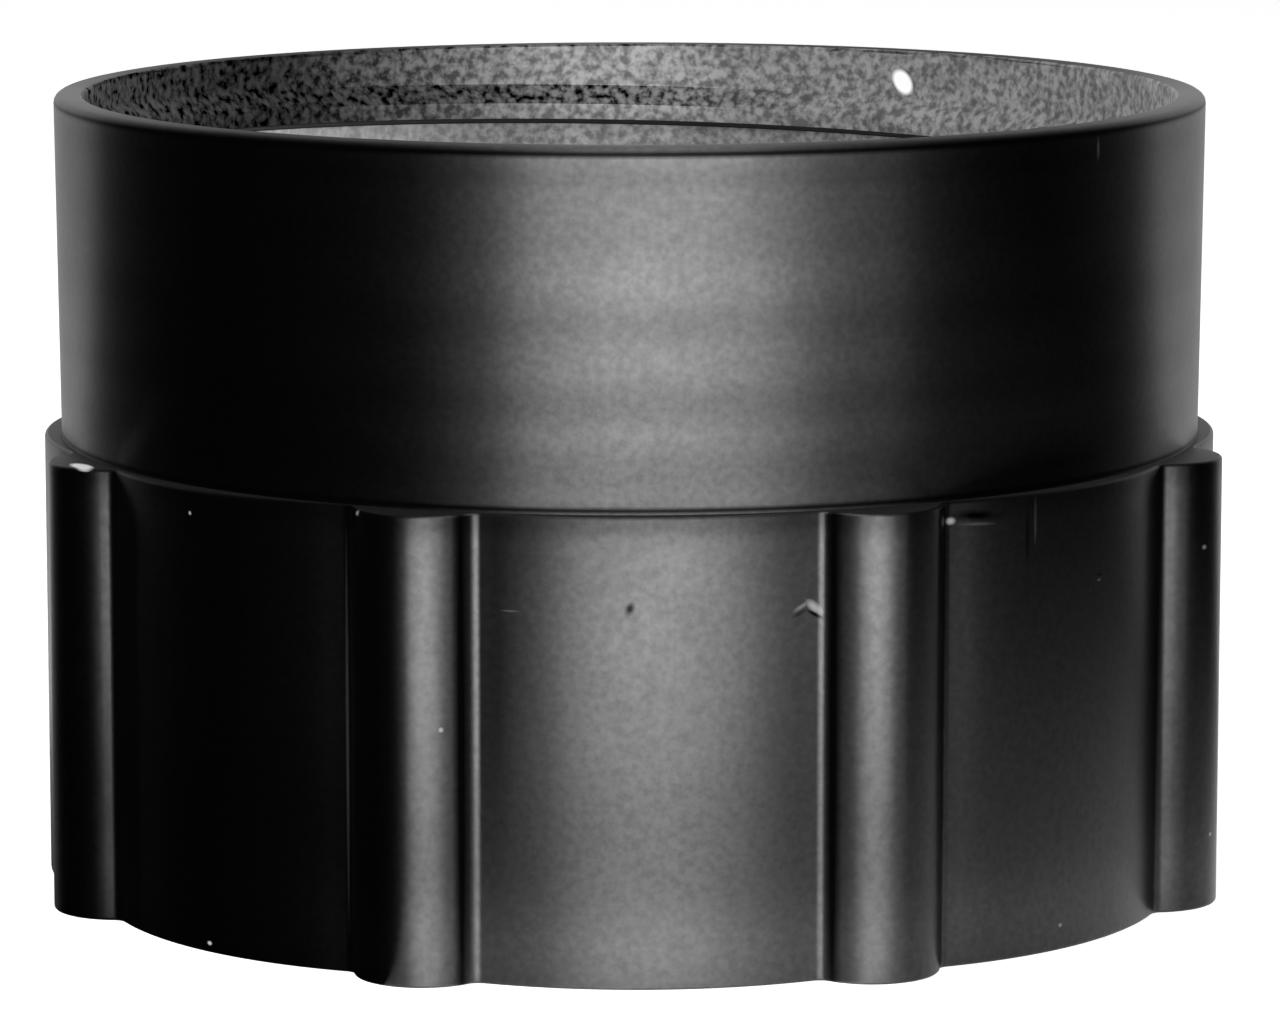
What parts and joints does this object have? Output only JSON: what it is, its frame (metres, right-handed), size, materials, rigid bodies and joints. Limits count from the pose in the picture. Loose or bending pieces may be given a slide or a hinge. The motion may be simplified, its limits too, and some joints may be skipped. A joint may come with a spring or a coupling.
{
  "type": "hose thread adapter",
  "caption": "Short straight pipe adapter: a plain barrel with a coarse right-hand hose thread inside, on a wider collar with rounded grip ribs and a plain slip bore.",
  "frame": {"origin": "centre of the ribbed end's face, on the axis of the bore, where the part stands", "axes": "+Z along the bore from the ribbed end to the barrel's mouth; -Y faces the panel between two ribs that the picture shows in front"},
  "size_m": [0.091, 0.091, 0.0607],
  "materials": {
    "black_abs": "satin moulded black ABS"
  },
  "bodies": {
    "root": {"adapter_body": "black_abs"}
  },
  "joints": []
}
